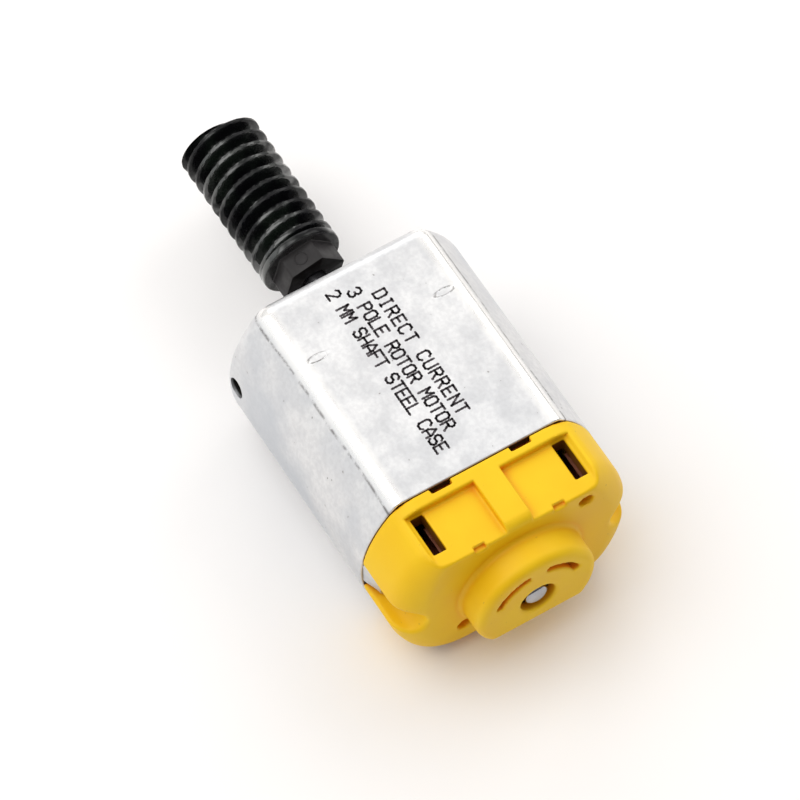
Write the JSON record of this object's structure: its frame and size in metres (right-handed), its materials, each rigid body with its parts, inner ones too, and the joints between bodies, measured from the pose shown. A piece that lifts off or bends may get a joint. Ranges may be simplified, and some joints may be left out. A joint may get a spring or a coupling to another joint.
{
  "type": "brushed dc motor with worm",
  "caption": "Small flat-sided brushed DC motor in a steel can, with a moulded end cap, push-in terminals and a plastic worm on its shaft.",
  "frame": {"origin": "centre of the can's lower flat, which the motor lies on", "axes": "+X along the shaft towards the worm, +Z square to the two flats, +Y to the left seen from the end cap with the terminal pockets up"},
  "size_m": [0.0483, 0.021, 0.0154],
  "materials": {
    "zinc_steel": "satin",
    "yellow_plastic": "satin",
    "black_plastic": "gloss",
    "polished_steel": "polished",
    "sintered_bronze": "matte",
    "ferrite": "matte",
    "spring_steel": "satin",
    "silicon_steel": "satin",
    "white_nylon": "satin",
    "enamelled_wire": "satin",
    "black_moulding": "matte",
    "copper": "satin",
    "carbon": "matte",
    "phosphor_bronze": "satin"
  },
  "bodies": {
    "stator": {"motor_can": "zinc_steel", "end_cap": "yellow_plastic", "front_bush": "sintered_bronze", "rear_bush": "sintered_bronze", "magnet_left": "ferrite", "magnet_right": "ferrite", "magnet_spring": "spring_steel", "brush_left": "carbon", "brush_right": "carbon", "brush_arm_left": "phosphor_bronze", "brush_arm_right": "phosphor_bronze", "terminal_left": "phosphor_bronze", "terminal_right": "phosphor_bronze"},
    "rotor": {"shaft": "polished_steel", "lamination_01": "silicon_steel", "lamination_02": "silicon_steel", "lamination_03": "silicon_steel", "lamination_04": "silicon_steel", "lamination_05": "silicon_steel", "lamination_06": "silicon_steel", "lamination_07": "silicon_steel", "lamination_08": "silicon_steel", "lamination_09": "silicon_steel", "lamination_10": "silicon_steel", "lamination_11": "silicon_steel", "lamination_12": "silicon_steel", "lamination_13": "silicon_steel", "lamination_14": "silicon_steel", "lamination_15": "silicon_steel", "lamination_16": "silicon_steel", "lamination_17": "silicon_steel", "lamination_18": "silicon_steel", "insulator_front": "white_nylon", "insulator_rear": "white_nylon", "coil_1": "enamelled_wire", "coil_2": "enamelled_wire", "coil_3": "enamelled_wire", "commutator_sleeve": "black_moulding", "commutator_segment_1": "copper", "commutator_segment_2": "copper", "commutator_segment_3": "copper", "commutator_ring": "white_nylon", "front_spacer": "white_nylon", "rear_spacer": "white_nylon", "worm": "black_plastic"}
  },
  "joints": [
    {"name": "rotor_spin", "type": "hinge", "parent": "stator", "child": "rotor", "pos_m": [0, 0, 0.0077], "axis": [1, 0, 0], "continuous": true}
  ]
}
